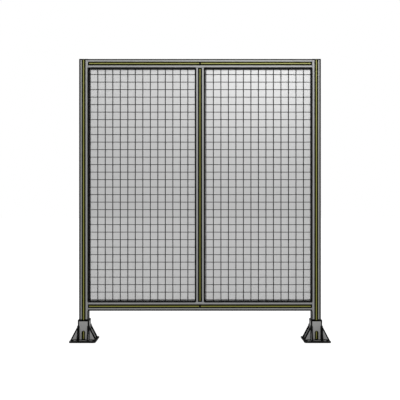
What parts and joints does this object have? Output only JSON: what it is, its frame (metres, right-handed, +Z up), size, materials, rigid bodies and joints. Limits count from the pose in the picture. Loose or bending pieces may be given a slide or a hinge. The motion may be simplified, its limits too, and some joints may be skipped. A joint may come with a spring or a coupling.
{
  "type": "mesh fence panel",
  "caption": "Free-standing machine guard panel: a square-profile aluminium frame with welded wire mesh over clear sheets, yellow slot covers and gusseted floor feet.",
  "frame": {"origin": "centre of the underside of the left foot's base plate, where it stands on the floor", "axes": "+Z up, +X along the panel from the left post to the right post, seen from the front; +Y from the front face to the rear"},
  "size_m": [1.285, 0.13, 1.4],
  "materials": {
    "anodised_aluminium": "satin natural anodised, with fine extrusion lines",
    "foot_steel": "grey powder coat over welded steel plate",
    "clear_sheet": "lightly frosted clear plastic sheet",
    "mesh_wire": "black powder coat on welded steel wire",
    "black_seal": "matt black rubber",
    "yellow_cover": "satin yellow extruded plastic"
  },
  "bodies": {
    "root": {"left_post": "anodised_aluminium", "right_post": "anodised_aluminium", "top_rail": "anodised_aluminium", "bottom_rail": "anodised_aluminium", "centre_mullion": "anodised_aluminium", "left_foot": "foot_steel", "left_clear_sheet": "clear_sheet", "left_mesh_uprights": "mesh_wire", "left_mesh_crosswires": "mesh_wire", "left_bay_top_seal": "black_seal", "left_bay_bottom_seal": "black_seal", "left_bay_left_seal": "black_seal", "left_bay_right_seal": "black_seal", "right_foot": "foot_steel", "right_clear_sheet": "clear_sheet", "right_mesh_uprights": "mesh_wire", "right_mesh_crosswires": "mesh_wire", "right_bay_top_seal": "black_seal", "right_bay_bottom_seal": "black_seal", "right_bay_left_seal": "black_seal", "right_bay_right_seal": "black_seal", "left_post_front_cover": "yellow_cover", "right_post_front_cover": "yellow_cover", "mullion_front_cover": "yellow_cover", "top_rail_left_front_cover": "yellow_cover", "top_rail_right_front_cover": "yellow_cover", "bottom_rail_left_front_cover": "yellow_cover", "bottom_rail_right_front_cover": "yellow_cover", "left_post_rear_cover": "yellow_cover", "right_post_rear_cover": "yellow_cover", "mullion_rear_cover": "yellow_cover", "top_rail_left_rear_cover": "yellow_cover", "top_rail_right_rear_cover": "yellow_cover", "bottom_rail_left_rear_cover": "yellow_cover", "bottom_rail_right_rear_cover": "yellow_cover", "left_post_outer_cover": "yellow_cover", "right_post_outer_cover": "yellow_cover", "top_rail_upper_cover": "yellow_cover", "bottom_rail_under_cover": "yellow_cover"}
  },
  "joints": []
}
